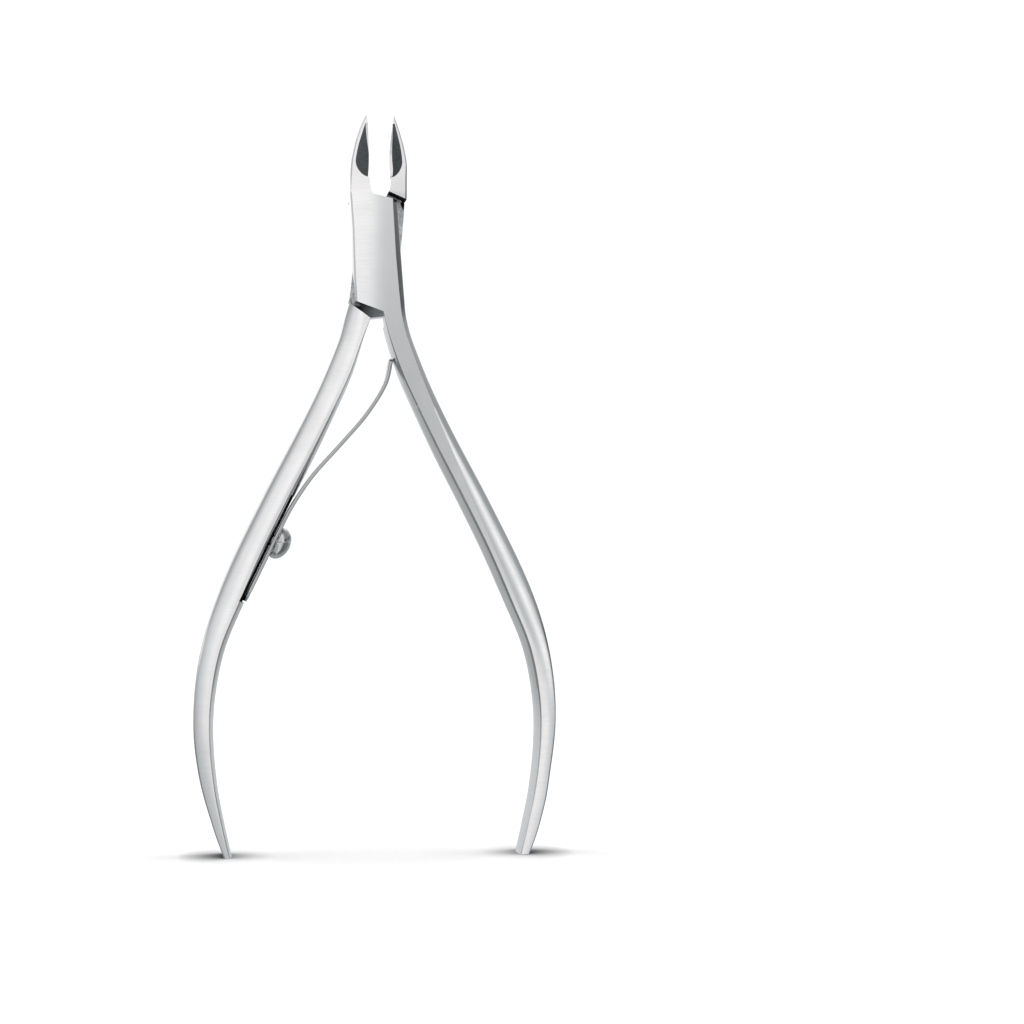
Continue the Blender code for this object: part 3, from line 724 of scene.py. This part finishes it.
UPPER_RING = ((-180, 1.0), (-150, 0.9), (-118, 0.8), (-95, 1.0), (-76, 0.95), (-63, 0.5), (-48, 0.5),
              (-34, 0.7), (-20, 0.88), (0, 0.98), (12, 0.6), (26, 0.7), (40, 0.95), (54, 0.6), (64, 0.05),
              (90, 0.03), (106, 0.06), (130, 0.2), (155, 0.9), (180, 1.0))
HIGH_RING = ((-180, 1.0), (-150, 0.9), (-118, 0.6), (-95, 0.42), (-72, 0.3), (-58, 0.36), (-52, 0.48),
             (-44, 0.74), (-35, 0.82), (-20, 0.86), (0, 0.82), (24, 0.75), (40, 0.88), (52, 0.7), (62, 0.34),
             (80, 0.3), (104, 0.34), (130, 0.4), (155, 0.9), (180, 1.0))
RING_HEIGHTS = ((-0.11, -0.21), (-0.01, -0.07), (0.08, 0.15), (0.18, 0.28))
STEEL_DULLS = 0.8
COOL, WARM = (0.975, 1.0, 1.02), (1.02, 0.998, 0.99)
WARM_ABOVE = 0.7
BACKDROP = 1.05


def ring(nodes, place, stops_wanted):
    """A colour ramp round the nipper, cool where it is dark and warm where it is bright."""
    ramp = nodes.add("ShaderNodeValToRGB", {"Fac": place})
    ramp.color_ramp.interpolation = "EASE"
    stops = ramp.color_ramp.elements
    while len(stops) < len(stops_wanted):
        stops.new(0.5)
    for stop, (degrees, value) in zip(stops, stops_wanted):
        tint = WARM if value > WARM_ABOVE else COOL
        stop.position = (degrees + 180) / 360
        stop.color = (*(value * part for part in tint), 1.0)
    return ramp.outputs["Color"]


def make_world():
    """White to look at, an even sky for matt surfaces, and a studio of soft boxes and cloths for steel."""
    world = bpy.data.worlds.new("studio")
    bpy.context.scene.world = world
    world.use_nodes = True
    tree = world.node_tree
    tree.nodes.clear()
    nodes = Nodes(tree)
    split = nodes.add("ShaderNodeSeparateXYZ", {0: nodes.add("ShaderNodeTexCoord").outputs["Generated"]})
    x, y, z = split.outputs
    turn = nodes.math("ARCTAN2", x, nodes.math("MULTIPLY", y, -1.0))
    place = nodes.ramp(turn, -math.pi, math.pi, 0.0, 1.0)
    floor, lower, level, upper, high = (ring(nodes, place, stops) for stops in
                                        (FLOOR_RING, LOWER_RING, LEVEL_RING, UPPER_RING, HIGH_RING))

    def blend(below, above, heights):
        return nodes.add("ShaderNodeMix", {0: nodes.ramp(z, *heights, 0.0, 1.0), 6: below, 7: above},
                         data_type="RGBA").outputs[2]

    studio = blend(lower, floor, RING_HEIGHTS[0])
    studio = blend(level, studio, RING_HEIGHTS[1])
    studio = blend(studio, blend(upper, high, RING_HEIGHTS[3]), RING_HEIGHTS[2])
    rays = nodes.add("ShaderNodeLightPath").outputs
    steel = nodes.add("ShaderNodeBackground", {"Color": studio, "Strength": 1.0 / STEEL_DULLS})
    plain = nodes.add("ShaderNodeBackground", {"Color": (1, 1, 1, 1), "Strength": SKY})
    white = nodes.add("ShaderNodeBackground", {"Color": (1, 1, 1, 1), "Strength": BACKDROP})
    matt = nodes.add("ShaderNodeMixShader",
                     {0: rays["Is Diffuse Ray"], 1: steel.outputs[0], 2: plain.outputs[0]})
    seen = nodes.add("ShaderNodeMixShader",
                     {0: rays["Is Camera Ray"], 1: matt.outputs[0], 2: white.outputs[0]})
    nodes.add("ShaderNodeOutputWorld", {"Surface": seen.outputs[0]})


# The sky's light on matt surfaces, and the lamps: name, tilt to the right, strength
SKY = 0.2
LAMPS = (("overhead", 0, 1.4), ("left", -50, 1.5), ("right", 50, 1.5))
LAMP_ANGLE = math.radians(45)
LAMPS_FORWARD = math.radians(-4)

# How far from the handle ends, in metres, the floor's colour is darkened as painted contact shadow, and how
# strongly
CONTACT_REACH = 0.0065
CONTACT_DEPTH = 2.4


def make_lights():
    """Lamps overhead and at both sides, which make soft shadows at the handle ends and aren't mirrored."""
    for name, tilt, strength in LAMPS:
        data = bpy.data.lights.new(name, "SUN")
        data.energy = strength
        data.angle = LAMP_ANGLE
        light = bpy.data.objects.new(name, data)
        bpy.context.collection.objects.link(light)
        light.rotation_euler = (LAMPS_FORWARD, math.radians(tilt), 0)
        light.visible_glossy = False


def make_floor():
    """A pale floor that steel doesn't mirror, with painted contact shadow near the handle ends."""
    bpy.ops.mesh.primitive_plane_add(size=1.6, location=(0, 0.3, 0))
    floor = bpy.context.object
    floor.name = "floor"
    material = bpy.data.materials.new("floor")
    material.use_nodes = True
    shader = material.node_tree.nodes["Principled BSDF"]
    nodes = Nodes(material.node_tree)
    grain = nodes.noise(nodes.stretched(1, 1, 1), 900.0, 2.0, 0.5)
    paper = nodes.colours(grain, (0.9, 0.9, 0.905), (0.93, 0.93, 0.935))
    closeness = nodes.add("ShaderNodeAmbientOcclusion", {"Distance": CONTACT_REACH}, samples=16).outputs["AO"]
    contact = nodes.math("POWER", closeness, CONTACT_DEPTH)
    shade = nodes.add("ShaderNodeMix", {0: contact, 6: (0.03, 0.03, 0.035, 1.0), 7: paper}, data_type="RGBA")
    material.node_tree.links.new(shade.outputs[2], shader.inputs["Base Color"])
    shader.inputs["Roughness"].default_value = 0.9
    shader.inputs["Specular IOR Level"].default_value = 0.0
    floor.data.materials.append(material)
    floor.visible_glossy = False


# ---------------------------------------------------------------- the nipper

def build():
    front = lever("front_lever_fine", FRONT_OPENING, PIVOT_X, ARM_INNER_TOP_FRONT, FRONT_JAW_WIDER,
                  FRONT_ARM_WIDER, FRONT_ARM_FACE, FRONT_PLATE_FOOT, FRONT_ARM_SHOULDER,
                  (-1, FRONT_HONED, FACET_SHARE_FRONT))
    back = lever("back_lever_fine", BACK_OPENING, -PIVOT_X, ARM_INNER_TOP_BACK, BACK_JAW_WIDER,
                 BACK_ARM_WIDER, BACK_ARM_FACE, BACK_PLATE_FOOT, BACK_ARM_SHOULDER,
                 (1, BACK_HONED, FACET_SHARE_BACK))
    move(back, Matrix.Rotation(math.pi, 4, "Z"))
    for item in (front, back):
        combine(item, at_pivot(turned("bore", rivet_profile(RUNNING_GAP), slot=LAPPED)), "DIFFERENCE")
    combine(back, seat_cutter(SEAT_GAP, -SEAT_HALF_WIDTH, SEAT_HALF_WIDTH), "DIFFERENCE")
    combine(back, seat_cutter(REBATE_GAP, -BEYOND_DEPTH, REBATE_BACK), "DIFFERENCE")
    screw_hole = rod("screw_hole", SCREW_SHANK_RADIUS + RUNNING_GAP, -SCREW_LENGTH - SCREW_HOLE_SPARE, 1.0)
    combine(back, screw_hole, "DIFFERENCE")
    combine(back, prism("relief_cutter", RELIEF, -LAP_GAP / 2, RELIEF_DEPTH, SHADED), "DIFFERENCE")

    rivet = at_pivot(turned("pivot_rivet_fine", rivet_profile(0.0)))
    spring = leaf_spring()
    combine(spring, rod("leaf_hole", SCREW_SHANK_RADIUS + LEAF_HOLE_GAP, -1.5, 1.5), "DIFFERENCE")
    screw = spring_screw()
    only(rivet, lapped)
    only(spring, bright)
    only(screw, polished)

    # The ledge under the left jaw is seen from below, and keeps the jaw's steel instead of the painted shade
    for face in front.data.polygons:
        if face.material_index == SHADED:
            face.material_index = STEEL
    for item in (front, back):
        soften(item, *LEVER_BEVEL)
    soften(rivet, *PIN_BEVEL)
    spring.data.shade_smooth()
    spring.data.set_sharp_from_angle(angle=LEAF_SMOOTH_ANGLE)
    soften(screw, *PIN_BEVEL)

    for item, node, body, slot in (
            (front, "front_lever", "front_lever", "satin_steel"),
            (back, "back_lever", "back_lever", "satin_steel"),
            (rivet, "pivot_rivet", "front_lever", "rivet_steel"),
            (screw, "spring_screw", "back_lever", "screw_steel")):
        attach(item, body)
        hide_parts(node)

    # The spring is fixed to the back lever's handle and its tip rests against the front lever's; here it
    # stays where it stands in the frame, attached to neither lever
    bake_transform(spring)
    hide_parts("leaf_spring")


make_camera()
make_world()
make_lights()
make_floor()
build()
bpy.context.scene.view_settings.view_transform = "Standard"
